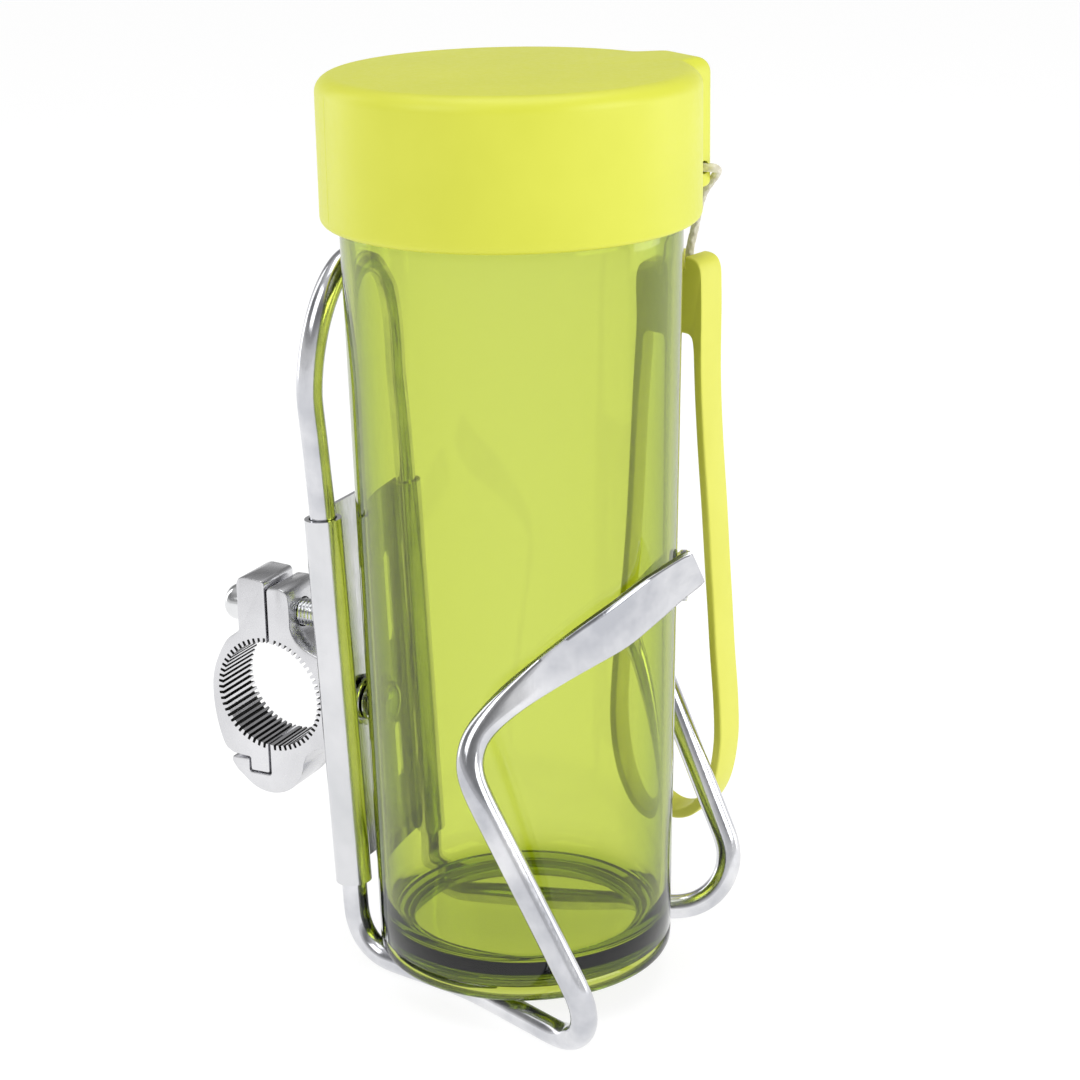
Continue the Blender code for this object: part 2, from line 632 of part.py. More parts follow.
def make_clamp_bolt():
    # domed cap head with a six-sided socket, shank through both ears
    profile = [(0, -20.0), (2.6, -20.0), (3.2, -19.4), (3.2, 0.0), (4.2, 0.0), (4.35, 0.3), (4.35, 2.9),
               (4.1, 4.0), (3.5, 4.9), (2.5, 5.5), (1.9, 5.6), (1.9, 3.2), (0, 3.0)]
    return finish("clamp_bolt", along_y(lathe(profile, 24, closed=False), 0, 71.0, CLAMP_BOLT_Z), STEEL)


def make_plate_bolt():
    y = leg_y(PLATE_BOLT_Z) + SLEEVE_OUT_R - SHEET_T      # front face of the web
    profile = [(0, 0.0), (4.2, 0.0), (4.9, 0.7), (5.0, 1.4), (5.0, 2.9), (2.4, 2.9), (2.4, 12.8), (2.0, 13.3), (0, 13.3)]
    return finish("plate_bolt", along_y(lathe(profile, 24, closed=False), 0, y - 5.6, PLATE_BOLT_Z), STEEL)


def make_plate_washer():
    y = leg_y(PLATE_BOLT_Z) + SLEEVE_OUT_R - SHEET_T
    profile = [(2.75, 0), (5.9, 0), (5.9, 0.8), (2.75, 0.8)]
    return finish("plate_washer", along_y(lathe(profile, 24), 0, y - 1.2, PLATE_BOLT_Z), STEEL)


def make_spring_washer():
    y = leg_y(PLATE_BOLT_Z) + SLEEVE_OUT_R - SHEET_T
    rings = []
    for i in range(21):
        a = math.radians(100 + 344 * i / 20)
        c, s = math.cos(a), math.sin(a)
        rings.append([(r * c, y + d, PLATE_BOLT_Z + r * s) for r, d in ((2.75, -2.3), (4.5, -2.3), (4.5, -1.5), (2.75, -1.5))])
    return finish("plate_spring_washer", rings_to_bmesh(rings), STEEL)


make_bottle()
make_lid()
make_seal()
make_cord()
make_strap()
make_rod()
make_plate()
make_clamp_base()
make_clamp_jaw()
make_clamp_bolt()
make_plate_bolt()
make_plate_washer()
make_spring_washer()
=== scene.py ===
"""Looks for the water bottle in its handlebar cage: fine meshes, materials,
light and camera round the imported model."""
import math
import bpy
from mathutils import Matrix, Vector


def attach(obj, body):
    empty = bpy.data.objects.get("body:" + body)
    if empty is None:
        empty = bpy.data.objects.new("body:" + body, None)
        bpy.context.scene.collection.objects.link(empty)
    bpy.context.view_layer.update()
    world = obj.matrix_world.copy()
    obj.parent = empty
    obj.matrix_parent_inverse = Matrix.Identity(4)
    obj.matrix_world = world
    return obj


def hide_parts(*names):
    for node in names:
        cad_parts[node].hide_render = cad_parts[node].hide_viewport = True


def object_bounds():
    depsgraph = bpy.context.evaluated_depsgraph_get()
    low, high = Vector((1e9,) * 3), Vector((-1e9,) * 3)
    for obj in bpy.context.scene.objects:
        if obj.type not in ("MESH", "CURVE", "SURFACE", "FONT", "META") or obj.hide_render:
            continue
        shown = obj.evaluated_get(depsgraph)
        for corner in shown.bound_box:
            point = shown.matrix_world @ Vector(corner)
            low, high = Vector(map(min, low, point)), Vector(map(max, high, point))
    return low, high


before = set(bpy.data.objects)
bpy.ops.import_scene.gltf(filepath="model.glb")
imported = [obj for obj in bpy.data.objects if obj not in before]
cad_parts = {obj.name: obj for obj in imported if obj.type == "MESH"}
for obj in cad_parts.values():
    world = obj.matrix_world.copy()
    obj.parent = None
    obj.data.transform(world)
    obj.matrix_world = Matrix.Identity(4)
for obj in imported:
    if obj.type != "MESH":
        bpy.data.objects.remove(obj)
CAD_BOX = [[float(c) for c in corner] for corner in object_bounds()]

import bmesh
import bpy
import numpy as np
from mathutils import Matrix, Vector

# ------------------------------------------------------------------ dimensions
MM = 0.001
BORE_Y = 62.8
BORE_Z = 51.9
BORE_TIP_R = 12.8
BORE_ROOT_R = 14.0
CLAMP_TEETH = 58
CLAMP_HALF_W = 6.5
BOTTLE_BASE_R = 33.45
BOTTLE_TOP_R = 36.5
BOTTLE_SHOULDER_Z = 169.4
BOTTLE_RIM_Z = 191.0
BOTTLE_WALL = 2.2
BOTTLE_FLOOR_Z = 8.1
LID_R = 40.43
LID_Z0 = 168.16
LID_Z1 = 199.18
LID_CEILING_Z = 194.4
LUG_AZ = math.radians(-34.5)
LUG_R = 45.8
LUG_Z0 = 171.2
LUG_HOLE_R = 43.2
LUG_HOLE_Z = 175.6
ROD_R = 2.9
LEG_X = 16.5
LEG_SLOPE = 0.046
LEG_Y0 = 35.17
SLEEVE_OUT_R = 4.15
SHEET_T = 1.0
SLEEVE_Z0 = 14.3
SLEEVE_Z1 = 101.2
ARCH_Z0 = 128.0
ARCH_Z1 = 156.6
ARCH_TOP_Y = 39.6
RUN_Z = -3.25
PLATE_BOLT_Z = 52.0
CLAMP_BOLT_Z = 71.5
CORD_R = 0.95
STRAP_W = 8.4
STRAP_AZ = math.radians(-10.3)
STRAP_PIVOT = (42.0, -22.9, 151.9)


def place(p):
    return Vector((p[0] * MM, (p[1] - BORE_Y) * MM, (p[2] - BORE_Z) * MM))


# ---------------------------------------------------------------------- camera
VIEW_TURN = math.radians(27.04)      # view-aligned axes against the object's


def from_view(x, y, z):
    s, c = math.sin(VIEW_TURN), math.cos(VIEW_TURN)
    return Vector((x * s + y * c, -x * c + y * s, z))


def make_camera():
    pitch, yaw, roll = 0.318035, 0.009139, -0.017667
    f = Vector((math.sin(yaw) * math.cos(pitch), math.cos(yaw) * math.cos(pitch), -math.sin(pitch)))
    right = f.cross(Vector((0, 0, 1))).normalized()
    up = right.cross(f)
    r = right * math.cos(roll) + up * math.sin(roll)
    u = -right * math.sin(roll) + up * math.cos(roll)
    r, u, f = (from_view(*v) for v in (r, u, f))
    m = Matrix((r, u, -f)).transposed().to_4x4()
    m.translation = place(from_view(0.0, -531.81, 271.24))
    data = bpy.data.cameras.new("camera")
    data.sensor_width = 36.0
    data.lens = 84.685
    data.clip_start = 0.01
    data.clip_end = 50.0
    cam = bpy.data.objects.new("camera", data)
    cam.matrix_world = m
    bpy.context.scene.collection.objects.link(cam)
    bpy.context.scene.camera = cam


make_camera()


# ------------------------------------------------------------------- materials
class Nodes:
    def __init__(self, name):
        self.mat = bpy.data.materials.new(name)
        self.mat.use_nodes = True
        self.tree = self.mat.node_tree
        self.shader = self.tree.nodes["Principled BSDF"]
        self.out = self.tree.nodes["Material Output"]
        self.coord = self.new("ShaderNodeTexCoord").outputs["Object"]

    def new(self, kind, **values):
        node = self.tree.nodes.new(kind)
        for key, value in values.items():
            node.inputs[key].default_value = value
        return node

    def link(self, a, b):
        self.tree.links.new(a, b)

    def scaled(self, scale):
        node = self.new("ShaderNodeMapping")
        node.inputs["Scale"].default_value = scale
        self.link(self.coord, node.inputs["Vector"])
        return node.outputs["Vector"]

    def noise(self, scale, detail=4.0, rough=0.55, vector=None):
        node = self.new("ShaderNodeTexNoise", Scale=scale, Detail=detail, Roughness=rough)
        self.link(vector if vector is not None else self.coord, node.inputs["Vector"])
        return node.outputs["Fac"]

    def ramp(self, value, stops):
        node = self.new("ShaderNodeValToRGB")
        ramp = node.color_ramp
        while len(ramp.elements) < len(stops):
            ramp.elements.new(0.5)
        for element, (at, colour) in zip(ramp.elements, stops):
            element.position = at
            element.color = (*colour, 1.0)
        self.link(value, node.inputs["Fac"])
        return node.outputs["Color"]

    def span(self, value, low, high, a=0.0, b=1.0):
        node = self.new("ShaderNodeMapRange")
        node.inputs["From Min"].default_value = a
        node.inputs["From Max"].default_value = b
        node.inputs["To Min"].default_value = low
        node.inputs["To Max"].default_value = high
        self.link(value, node.inputs["Value"])
        return node.outputs["Result"]

    def bump(self, height, strength, distance, normal=None):
        node = self.new("ShaderNodeBump", Strength=strength, Distance=distance)
        self.link(height, node.inputs["Height"])
        if normal is not None:
            self.link(normal, node.inputs["Normal"])
        return node.outputs["Normal"]

    def set(self, **values):
        for key, value in values.items():
            self.shader.inputs[key.replace("_", " ")].default_value = value


def plastic(name, low, high, rough, grain):
    n = Nodes(name)
    n.link(n.ramp(n.noise(38.0, 3.0), [(0.35, low), (0.65, high)]), n.shader.inputs["Base Color"])
    n.link(n.span(n.noise(900.0, 3.0), rough - 0.04, rough + 0.05, 0.3, 0.7), n.shader.inputs["Roughness"])
    n.link(n.bump(n.noise(2600.0, 2.0), grain, 0.00002), n.shader.inputs["Normal"])
    n.set(IOR=1.5)
    return n


def metal(name, low, high, rough, streak, grain=0.10):
    """streak stretches the marks along one axis: the smaller the number, the longer."""
    n = Nodes(name)
    along = n.scaled(streak)
    marks = n.noise(2600.0, 4.0, 0.6, along)
    n.link(n.ramp(n.noise(60.0, 4.0), [(0.3, low), (0.7, high)]), n.shader.inputs["Base Color"])
    n.link(n.span(marks, rough - 0.05, rough + 0.10, 0.3, 0.75), n.shader.inputs["Roughness"])
    n.link(n.bump(marks, grain, 0.00002), n.shader.inputs["Normal"])
    n.set(Metallic=1.0)
    return n


LIME = plastic("lime_plastic_fine", (0.70, 0.728, 0.062), (0.73, 0.757, 0.070), 0.40, 0.10)
LIME.set(Specular_IOR_Level=0.45)
SILICONE = plastic("lime_silicone_fine", (0.74, 0.745, 0.095), (0.78, 0.785, 0.110), 0.46, 0.20)
SEAL = plastic("white_silicone_fine", (0.80, 0.81, 0.76), (0.84, 0.85, 0.80), 0.55, 0.20)
ROD = metal("drawn_rod", (0.48, 0.49, 0.53), (0.84, 0.84, 0.86), 0.14, (1.0, 1.0, 0.06), 0.05)
SHEET = metal("sheet_fine", (0.60, 0.61, 0.63), (0.73, 0.73, 0.75), 0.16, (1.0, 1.0, 0.06), 0.03)
CAST = metal("clamp_fine", (0.62, 0.62, 0.64), (0.74, 0.74, 0.76), 0.22, (0.10, 1.0, 1.0), 0.06)
STEEL = metal("plated_fine", (0.70, 0.71, 0.72), (0.82, 0.82, 0.83), 0.12, (1.0, 0.3, 1.0), 0.03)


def make_clear_green():
    n = Nodes("clear_green_fine")
    n.set(Transmission_Weight=1.0, IOR=1.49, Specular_IOR_Level=0.35)
    # painted shade: the colour darkens where the surface is seen edge on, standing in for the dark surroundings that
    # edge the bottle
    weight = n.new("ShaderNodeLayerWeight", Blend=0.5)
    n.link(n.ramp(weight.outputs["Facing"], [(0.30, (0.97, 1.0, 0.84)), (0.55, (0.74, 0.82, 0.48)), (0.86, (0.24, 0.33, 0.05))]),
           n.shader.inputs["Base Color"])
    n.link(n.span(n.noise(220.0, 3.0), 0.012, 0.035, 0.35, 0.7), n.shader.inputs["Roughness"])
    n.link(n.bump(n.noise(45.0, 2.0), 0.05, 0.0002), n.shader.inputs["Normal"])
    body = n.new("ShaderNodeVolumeAbsorption", Color=(0.785, 0.820, 0.13, 1.0), Density=520.0)
    n.link(body.outputs["Volume"], n.out.inputs["Volume"])
    return n


CLEAR = make_clear_green()


def make_cord_material():
    n = Nodes("cord_fine")
    n.link(n.ramp(n.noise(700.0, 3.0), [(0.3, (0.60, 0.56, 0.44)), (0.7, (0.82, 0.79, 0.68))]),
           n.shader.inputs["Base Color"])
    n.link(n.bump(n.noise(5200.0, 2.0), 0.5, 0.00008), n.shader.inputs["Normal"])
    n.set(Roughness=0.85, Sheen_Weight=0.3)
    return n


CORD = make_cord_material()
# near-black painted shade for the roots of the clamp's teeth, standing in for the shadow deep in the grooves
GROOVE_SHADE = metal("groove_painted_shade", (0.02, 0.02, 0.02), (0.05, 0.05, 0.05), 0.55, (0.10, 1.0, 1.0))
GROOVE_SHADE.set(Metallic=0.0)


# --------------------------------------------------------------------- helpers
def piece(name, bm, look, body, stands_for=(), sharp=32.0):
    for v in bm.verts:
        v.co = place(v.co)
    bmesh.ops.recalc_face_normals(bm, faces=bm.faces)
    mesh = bpy.data.meshes.new(name)
    bm.to_mesh(mesh)
    bm.free()
    mesh.shade_smooth()
    mesh.set_sharp_from_angle(angle=math.radians(sharp))
    obj = bpy.data.objects.new(name, mesh)
    bpy.context.scene.collection.objects.link(obj)
    mesh.materials.append(look.mat)
    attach(obj, body)
    if stands_for:
        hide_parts(*stands_for)
    return obj


def rings_to_bmesh(rings, closed_path=False, cap=True):
    bm = bmesh.new()
    loops = [[bm.verts.new(p) for p in ring] for ring in rings]
    n = len(loops[0])
    count = len(loops)
    for i in range(count if closed_path else count - 1):
        a, b = loops[i], loops[(i + 1) % count]
        for j in range(n):
            k = (j + 1) % n
            bm.faces.new((a[j], a[k], b[k], b[j]))
    if cap and not closed_path:
        bm.faces.new(loops[0])
        bm.faces.new(list(reversed(loops[-1])))
    return bm


def lathe(profile, segments=48, closed=True):
    bm = bmesh.new()
    cols = []
    for s in range(segments):
        a = 2 * math.pi * s / segments
        cols.append([
            None if r < 1e-6 else bm.verts.new((r * math.cos(a), r * math.sin(a), z))
            for r, z in profile
        ])
    n = len(profile)
    poles = {i: bm.verts.new((0, 0, profile[i][1])) for i in range(n) if profile[i][0] < 1e-6}
    for s in range(segments):
        a, b = cols[s], cols[(s + 1) % segments]
        for i in range(n if closed else n - 1):
            k = (i + 1) % n
            va, vb, vc, vd = a[i], b[i], b[k], a[k]
            if va is None:
                bm.faces.new((poles[i], vc, vd))
            elif vd is None:
                bm.faces.new((va, vb, poles[k]))
            else:
                bm.faces.new((va, vb, vc, vd))
    return bm


def along_y(bm, x, y, z):
    turn = Matrix.Rotation(math.radians(-90), 4, "X")
    bmesh.ops.transform(bm, matrix=Matrix.Translation((x, y, z)) @ turn, verts=bm.verts)
    return bm


def catmull(points, per, closed=False):
    pts = [np.array(p, float) for p in points]
    n = len(pts)
    out = []
    for i in range(n if closed else n - 1):
        if closed:
            p0, p1, p2, p3 = pts[i - 1], pts[i], pts[(i + 1) % n], pts[(i + 2) % n]
        else:
            p1, p2 = pts[i], pts[i + 1]
            p0 = pts[i - 1] if i else 2 * p1 - p2
            p3 = pts[i + 2] if i + 2 < n else 2 * p2 - p1
        for k in range(per):
            t = k / per
            out.append(0.5 * (2 * p1 + (p2 - p0) * t + (2 * p0 - 5 * p1 + 4 * p2 - p3) * t * t
                              + (3 * p1 - p0 - 3 * p2 + p3) * t ** 3))
    if not closed:
        out.append(pts[-1])
    return out


def even(points, step, smooth=0):
    """The same line with points evenly spaced, then relaxed a little."""
    pts = np.array(points, float)
    gap = np.linalg.norm(np.diff(pts[:, :3], axis=0), axis=1)
    at = np.concatenate([[0], np.cumsum(gap)])
    n = max(int(round(at[-1] / step)), 4)
    want = np.linspace(0, at[-1], n + 1)
    out = np.stack([np.interp(want, at, pts[:, k]) for k in range(pts.shape[1])], axis=1)
    for _ in range(smooth):
        out[1:-1] = 0.25 * out[:-2] + 0.5 * out[1:-1] + 0.25 * out[2:]
    return out


def cutter(name, bm):
    for v in bm.verts:
        v.co = place(v.co)
    bmesh.ops.recalc_face_normals(bm, faces=bm.faces)
    mesh = bpy.data.meshes.new(name)
    bm.to_mesh(mesh)
    bm.free()
    obj = bpy.data.objects.new(name, mesh)
    bpy.context.scene.collection.objects.link(obj)
    return obj


def boolean(obj, other, operation):
    """Cuts or joins at once and keeps no modifier."""
    mod = obj.modifiers.new("cut", "BOOLEAN")
    mod.object = other
    mod.operation = operation
    mod.solver = "EXACT"
    bpy.context.view_layer.update()
    graph = bpy.context.evaluated_depsgraph_get()
    mesh = bpy.data.meshes.new_from_object(obj.evaluated_get(graph))
    obj.modifiers.clear()
    old = obj.data
    obj.data = mesh
    bpy.data.meshes.remove(old)
    bpy.data.objects.remove(other, do_unlink=True)
    obj.data.set_sharp_from_angle(angle=math.radians(30))


def cylinder(r, z0, z1, segments=48):
    return lathe([(0, z0), (r, z0), (r, z1), (0, z1)], segments, closed=False)


def bottle_r(z):
    return BOTTLE_BASE_R + (BOTTLE_TOP_R - BOTTLE_BASE_R) * z / LID_Z0


def leg_y(z):
    return LEG_Y0 + LEG_SLOPE * z


# ------------------------------------------------------------------------ cord
def lug_point(t, r, z):
    ca, sa = math.cos(LUG_AZ), math.sin(LUG_AZ)
    return (r * ca - t * sa, r * sa + t * ca, z)


CORD_ROUTE = [(4.92, 47.58, 151.9), (4.6, 47.8, 155.5), (3.4, 48.2, 160.0), (1.4, 48.0, 165.0),
              (-1.6, 47.5, 169.0), (-4.6, 47.4, 171.8), (-7.2, 47.0, 173.8), (-9.1, 45.9, 175.0),
              (-9.6, 44.4, 175.6), (-8.5, 43.3, 175.6), (-6.0, 43.2, 175.6), (0.0, 43.2, 175.6),
              (6.0, 43.2, 175.6), (8.5, 43.3, 175.6), (9.6, 44.4, 175.5), (9.1, 45.9, 174.6),
              (7.2, 47.0, 173.2), (4.8, 47.4, 171.6), (2.4, 47.4, 170.4)]


def carried_frames(pts, start):
    """Tangents and twist-free normals along a line."""
    tangents, normals = [], []
    n = len(pts)
    v = np.array(start, float)
    for i in range(n):
        a, b = pts[max(i - 1, 0)], pts[min(i + 1, n - 1)]
        t = (b - a) / np.linalg.norm(b - a)
        v = v - t * (v @ t)
        v /= np.linalg.norm(v)
        tangents.append(t)
        normals.append(v.copy())
    return tangents, normals


def make_cord():
    route = even(catmull([lug_point(*p) for p in CORD_ROUTE], 12), 0.16, 6)
    tangents, normals = carried_frames(route, (1.0, 0.2, 0.0))
    rings = []
    sides = 32
    for i, p in enumerate(route):
        side = np.cross(tangents[i], normals[i])
        s = 0.16 * i
        ring = []
        for j in range(sides):
            a = 2 * math.pi * j / sides
            h = max(math.cos(4 * a + 2.3 * s), math.cos(4 * a - 2.3 * s + math.pi / 4))
            r = CORD_R * (0.90 + 0.10 * h)
            ring.append(tuple(p + normals[i] * r * math.cos(a) + side * r * math.sin(a)))
        rings.append(ring)
    obj = piece("strap_cord_braid", rings_to_bmesh(rings), CORD, "lid", ["strap_cord"], 80.0)
    return obj


make_cord()


# ---------------------------------------------------------------------- bottle
def make_bottle():
    w = BOTTLE_WALL
    outer = [(14.0, 5.0), (22.0, 4.95), (25.6, 4.7), (27.2, 4.1), (28.1, 3.1), (28.6, 2.0), (29.2, 1.0), (29.8, 0.4), (30.5, 0.1), (31.2, 0.0), (32.0, 0.05), (32.6, 0.25), (33.1, 0.65),
             (bottle_r(1.4), 1.4), (bottle_r(3.2), 3.2), (bottle_r(3.5) - 0.12, 3.5), (bottle_r(3.86) - 0.38, 3.86),
             (bottle_r(4.2) - 0.12, 4.2), (bottle_r(4.5), 4.5)]
    outer += [(bottle_r(z), z) for z in np.linspace(10, BOTTLE_SHOULDER_Z - 1, 32)]
    outer += [(36.42, 169.2), (36.1, 169.8), (35.5, 170.3), (34.8, 170.8), (34.45, 171.3), (34.4, 171.6)]
    for z in (172.4, 179.4):
        outer += [(34.4, z - 0.6), (34.7, z - 0.2), (35.25, z + 0.3), (35.3, z + 0.9), (35.25, z + 1.5), (34.7, z + 2.0),
                  (34.4, z + 2.4)]
    outer += [(34.4, BOTTLE_RIM_Z - 0.9), (34.3, BOTTLE_RIM_Z - 0.4), (33.9, BOTTLE_RIM_Z - 0.05), (33.4, BOTTLE_RIM_Z)]
    inner = [(32.7, BOTTLE_RIM_Z - 0.05), (32.3, BOTTLE_RIM_Z - 0.4), (32.2, BOTTLE_RIM_Z - 0.9), (32.2, 174.0),
             (32.4, 172.0), (33.1, 170.2), (33.9, 168.4), (bottle_r(164) - w, 165.5), (bottle_r(160) - w, 160)]
    inner += [(bottle_r(z) - w, z) for z in np.linspace(150, 16, 28)]
    inner += [(bottle_r(12) - w - 0.15, 12.4), (bottle_r(10) - w - 0.7, 10.2), (bottle_r(9) - w - 1.8, 8.9),
              (bottle_r(8) - w - 3.4, 8.25), (bottle_r(8) - w - 5.0, BOTTLE_FLOOR_Z)]
    profile = [(0, 5.0)] + outer + inner + [(0, BOTTLE_FLOOR_Z)]
    return piece("bottle_body_clear", lathe(profile, 192, closed=False), CLEAR, "bottle", ["bottle_body"],
                 40.0)


make_bottle()


# ------------------------------------------------------------------------- lid
def lug_bulge(az):
    d = abs((az - LUG_AZ + math.pi) % (2 * math.pi) - math.pi)
    d = math.degrees(d)
    if d <= 7.8:
        return 1.0
    if d >= 15.6:
        return 0.0
    t = (d - 7.8) / 7.8
    return (1 - t) ** 2.4 * (1 + 2.2 * t)


def lid_radius(az, lug=1.0):
    b = lug_bulge(az) * lug
    if b <= 0:
        return LID_R
    d = (az - LUG_AZ + math.pi) % (2 * math.pi) - math.pi
    face = LUG_R / math.cos(d)
    return LID_R + (min(face, LUG_R + 0.7) - LID_R) * b


PARTING_AZ = math.radians(139.0)


def make_lid():
    plain = [math.radians(a) for a in np.arange(0, 360, 2.0)]
    fine = [LUG_AZ + math.radians(a) for a in np.arange(-16.5, 16.6, 0.5)]
    line = [PARTING_AZ + math.radians(a) for a in (-0.35, -0.15, 0.0, 0.15, 0.35)]
    angles = sorted({round(a % (2 * math.pi), 6) for a in plain
                     if abs((a - LUG_AZ + math.pi) % (2 * math.pi) - math.pi) > math.radians(17)
                     and abs(a - PARTING_AZ) > math.radians(0.6)}
                    | {round(a % (2 * math.pi), 6) for a in fine} | {round(a % (2 * math.pi), 6) for a in line})
    outer = []
    for t in np.linspace(0, math.pi / 2, 7):                      # lower rounding
        outer.append((LID_Z0 + 1.7 * (1 - math.sin(t)), 1.7 * (1 - math.cos(t)), 0.0))
    outer = [(LID_Z0 + 1.7 * (1 - math.cos(t)), 1.7 * (1 - math.sin(t)), 0.0) for t in np.linspace(0, math.pi / 2, 7)]
    outer += [(LUG_Z0 - 0.1, 0.0, 0.0)]
    outer += [(LUG_Z0 + 1.3 * (1 - math.cos(t)), 1.3 * (1 - math.sin(t)), 1.0) for t in np.linspace(0, math.pi / 2, 6)]
    outer += [(z, 0.0, 1.0) for z in (176.0, 184.0, 190.0)]
    outer += [(LID_Z1 - 3.5 + 3.5 * math.sin(t), 3.9 * (1 - math.cos(t)), 1.0) for t in np.linspace(0, math.pi / 2, 12)]
    inner = [(37.6, LID_Z0), (37.1, LID_Z0 + 0.2), (36.9, LID_Z0 + 0.7)]
    for z in (175.6, 182.0):
        inner += [(36.9, z), (36.6, z + 0.3), (36.05, z + 0.7), (36.0, z + 1.2), (36.05, z + 1.7), (36.6, z + 2.1),
                  (36.9, z + 2.4)]
    inner += [(36.9, LID_CEILING_Z - 0.6), (36.3, LID_CEILING_Z)]
    bm = bmesh.new()
    made = []
    for a in angles:
        ca, sa = math.cos(a), math.sin(a)
        off = abs((a - PARTING_AZ + math.pi) % (2 * math.pi) - math.pi)
        groove = 0.07 if off < math.radians(0.2) else 0.0
        verts = []
        for z, inset, lug in reversed(outer):
            r = lid_radius(a, lug)
            r = max(r - inset, LID_R) if lug and LUG_Z0 <= z < LUG_Z0 + 1.29 else r - inset
            if groove and LID_Z0 + 2 < z < LID_Z1 - 3:
                r -= groove
            verts.append(bm.verts.new((r * ca, r * sa, z)))
        for r, z in inner:
            verts.append(bm.verts.new((r * ca, r * sa, z)))
        made.append(verts)
    top = bm.verts.new((0, 0, LID_Z1))
    ceiling = bm.verts.new((0, 0, LID_CEILING_Z))
    n = len(made[0])
    for i in range(len(made)):
        a, b = made[i], made[(i + 1) % len(made)]
        bm.faces.new((top, a[0], b[0]))
        for k in range(n - 1):
            bm.faces.new((a[k], a[k + 1], b[k + 1], b[k]))
        bm.faces.new((a[-1], ceiling, b[-1]))
    bmesh.ops.remove_doubles(bm, verts=bm.verts, dist=0.002)
    lid = piece("lid_cap", bm, LIME, "lid", ["lid"], 40.0)
    er = Vector((math.cos(LUG_AZ), math.sin(LUG_AZ), 0))
    et = Vector((-math.sin(LUG_AZ), math.cos(LUG_AZ), 0))
    hole = cylinder(1.45, -13.0, 13.0, 40)
    turn = Matrix((er, Vector((0, 0, -1)), et)).transposed().to_4x4()
    turn.translation = er * LUG_HOLE_R + Vector((0, 0, LUG_HOLE_Z))
    bmesh.ops.transform(hole, matrix=turn, verts=hole.verts)
    boolean(lid, cutter("cut_lug_hole", hole), "DIFFERENCE")
    return lid


make_lid()

seal_profile = [(31.9, 191.35), (32.4, 191.55), (33.0, 191.35), (33.8, 191.35), (34.4, 191.55), (34.9, 191.4), (35.2, 191.7),
                (35.2, 193.7), (34.9, 194.05), (31.9, 194.05), (31.6, 193.7), (31.6, 191.7)]
piece("lid_seal_ring", lathe(seal_profile, 144), SEAL, "lid", ["lid_seal"])


# ----------------------------------------------------------------------- strap
STRAP_OUT = [(13.6, 154.0), (18.6, 153.9), (20.7, 151.9), (21.1, 147.0), (21.1, 137.0), (20.3, 120.0),
             (19.3, 100.0), (18.5, 78.0), (19.3, 60.0), (20.6, 44.0), (20.6, 33.0), (18.2, 22.0),
             (12.8, 14.4), (5.8, 12.0), (-1.4, 14.6), (-6.6, 22.0), (-9.0, 33.0), (-8.6, 46.0),
             (-6.4, 62.0), (-3.4, 80.0), (0.2, 100.0), (3.7, 120.0), (6.1, 137.0), (6.1, 147.0),
             (6.5, 151.9), (8.6, 153.9)]
STRAP_IN = [(13.6, 136.6), (16.4, 136.6), (17.8, 136.2), (18.6, 134.6), (18.7, 130.0), (18.1, 118.0),
            (17.1, 100.0), (16.3, 78.0), (17.1, 60.5), (18.4, 44.0), (18.4, 33.5), (16.3, 23.6),
            (11.8, 16.9), (5.8, 14.2), (-0.2, 16.7), (-4.6, 23.4), (-6.8, 33.5), (-6.4, 46.0),
            (-4.2, 62.0), (-1.2, 80.0), (2.4, 100.0), (5.9, 119.0), (8.2, 131.0), (8.5, 134.6),
            (9.4, 136.2), (10.8, 136.6)]


def strap_offset(z):
    if z >= 140:
        return 45.5
    if z <= 66:
        return 55.0
    t = (140 - z) / 74.0
    return 45.5 + 9.5 * (t * t * (3 - 2 * t))


def strap_point(e, n, z):
    ca, sa = math.cos(STRAP_AZ), math.sin(STRAP_AZ)
    return (n * ca + e * sa, n * sa - e * ca, z)


def make_strap():
    out = catmull(STRAP_OUT, 10, closed=True)
    ins = catmull(STRAP_IN, 10, closed=True)
    half = STRAP_W / 2
    corner = 0.55
    rings = []
    for o, i in zip(out, ins):
        d = i - o
        thick = np.linalg.norm(d)
        u = d / thick
        ring = []
        for cx, cy, a0 in ((corner, -half + corner, 180), (thick - corner, -half + corner, 270),
                           (thick - corner, half - corner, 0), (corner, half - corner, 90)):
            for a in np.radians([a0, a0 + 22.5, a0 + 45, a0 + 67.5, a0 + 90]):
                x, y = cx + corner * math.cos(a), cy + corner * math.sin(a)
                p = o + u * x
                ring.append(strap_point(p[0], strap_offset(p[1]) + y, p[1]))
        rings.append(ring)
    strap = piece("wrist_strap_loop", rings_to_bmesh(rings, closed_path=True), SILICONE, "strap", ["wrist_strap"],
                  50.0)
    px, py, pz = STRAP_PIVOT
    ca, sa = math.cos(STRAP_AZ), math.sin(STRAP_AZ)
    e, n = px * sa - py * ca, px * ca + py * sa
    outline = [(-1.8, 6.0), (-1.8, 0.0)]
    outline += [(-1.8 * math.cos(a), -1.7 * math.sin(a)) for a in np.linspace(0.2, math.pi - 0.2, 15)]
    outline += [(1.8, 0.0), (1.8, 6.0)]
    slot = rings_to_bmesh([[strap_point(e + u, n - 9.0, pz + v) for u, v in outline],
                           [strap_point(e + u, n + 9.0, pz + v) for u, v in outline]])
    boolean(strap, cutter("cut_strap_slot", slot), "DIFFERENCE")
    return strap


make_strap()


